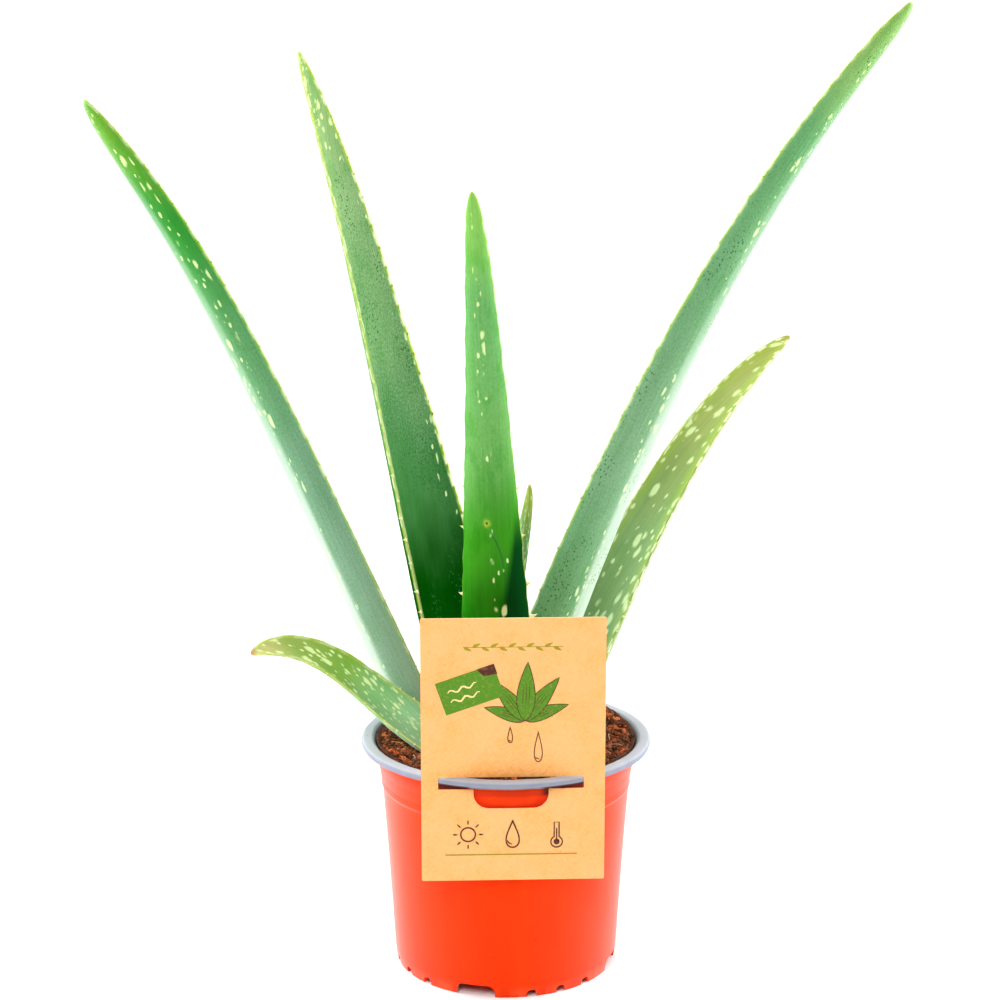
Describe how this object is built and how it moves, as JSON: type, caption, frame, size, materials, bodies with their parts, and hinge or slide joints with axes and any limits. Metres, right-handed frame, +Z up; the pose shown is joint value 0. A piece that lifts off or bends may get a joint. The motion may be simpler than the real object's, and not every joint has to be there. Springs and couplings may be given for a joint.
{
  "type": "potted aloe plant",
  "caption": "Young aloe with long tapered toothed leaves in a thin round plastic nursery pot, with a slotted kraft care card hung on the rim.",
  "frame": {"origin": "centre of the pot's flat centre foot, on the surface that the pot stands on and on the pot's axis", "axes": "+Z up along the pot's axis, the object's longest extent; -Y towards the side that the care card hangs on; +X towards the longest leaf"},
  "size_m": [0.328, 0.1827, 0.3933],
  "materials": {
    "pot_plastic": "satin",
    "coir_soil": "matte",
    "crown_tissue": "matte",
    "leaf_tissue": "satin",
    "kraft_card": "matte"
  },
  "bodies": {
    "root": {"pot": "pot_plastic", "soil": "coir_soil", "crown": "crown_tissue", "leaf_left_long": "leaf_tissue", "leaf_left_upright": "leaf_tissue", "leaf_front": "leaf_tissue", "leaf_right_long": "leaf_tissue", "leaf_right_short": "leaf_tissue", "leaf_young": "leaf_tissue", "leaf_left_low": "leaf_tissue", "care_card": "kraft_card"}
  },
  "joints": []
}
